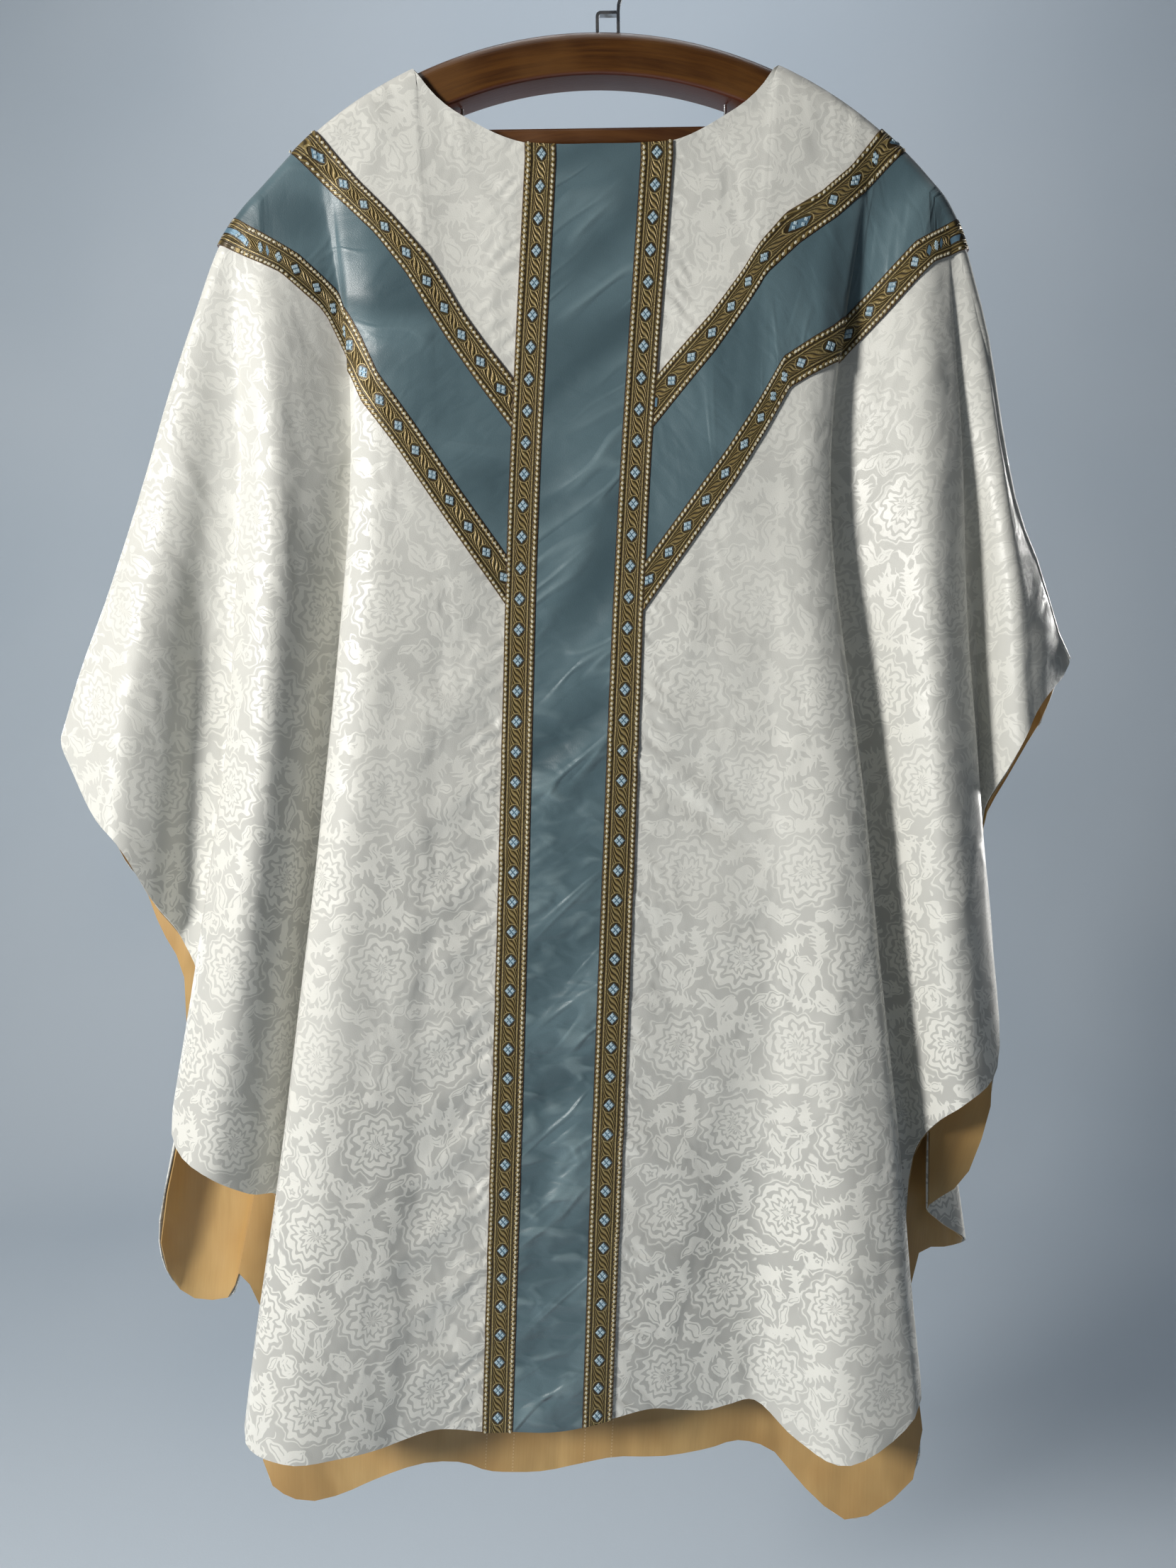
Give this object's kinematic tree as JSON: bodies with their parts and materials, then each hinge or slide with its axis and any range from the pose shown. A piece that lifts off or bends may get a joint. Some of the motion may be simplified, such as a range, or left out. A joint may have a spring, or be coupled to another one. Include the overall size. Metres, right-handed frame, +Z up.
{
  "type": "lined chasuble on a wooden vestment hanger",
  "caption": "Semi-Gothic chasuble in ivory damask with gold lining and a Y-shaped satin orphrey edged with galloon, hung flat on an arched wooden hanger with a trouser bar.",
  "frame": {"origin": "the point under the hook's crown where it hangs on a peg, on the middle of the hanger", "axes": "+Z up, front of the chasuble towards -Y, +X towards the viewer's right when facing the front"},
  "size_m": [0.8926, 0.143, 1.4107],
  "materials": {
    "damask": "ivory silk damask, satin figure on a duller ground",
    "lining": "gold lining satin",
    "orphrey_satin": "blue-grey satin",
    "galloon": "woven metallic braid",
    "hanger_wood": "varnished",
    "hook_metal": "plain zinc-plated"
  },
  "bodies": {
    "root": {"back_arm_galloon_lower_left": "galloon", "back_arm_galloon_lower_right": "galloon", "back_arm_galloon_upper_left": "galloon", "back_arm_galloon_upper_right": "galloon", "back_arm_satin_left": "orphrey_satin", "back_arm_satin_right": "orphrey_satin", "back_column_galloon_left": "galloon", "back_column_galloon_right": "galloon", "back_column_satin": "orphrey_satin", "back_lining": "lining", "back_panel": "damask", "bar_pin_left": "hook_metal", "bar_pin_right": "hook_metal", "front_arm_galloon_lower_left": "galloon", "front_arm_galloon_lower_right": "galloon", "front_arm_galloon_upper_left": "galloon", "front_arm_galloon_upper_right": "galloon", "front_arm_satin_left": "orphrey_satin", "front_arm_satin_right": "orphrey_satin", "front_column_galloon_left": "galloon", "front_column_galloon_right": "galloon", "front_column_satin": "orphrey_satin", "front_lining": "lining", "front_panel": "damask", "hanger_arch": "hanger_wood", "hanger_bar": "hanger_wood", "hanger_hook": "hook_metal"}
  },
  "joints": []
}
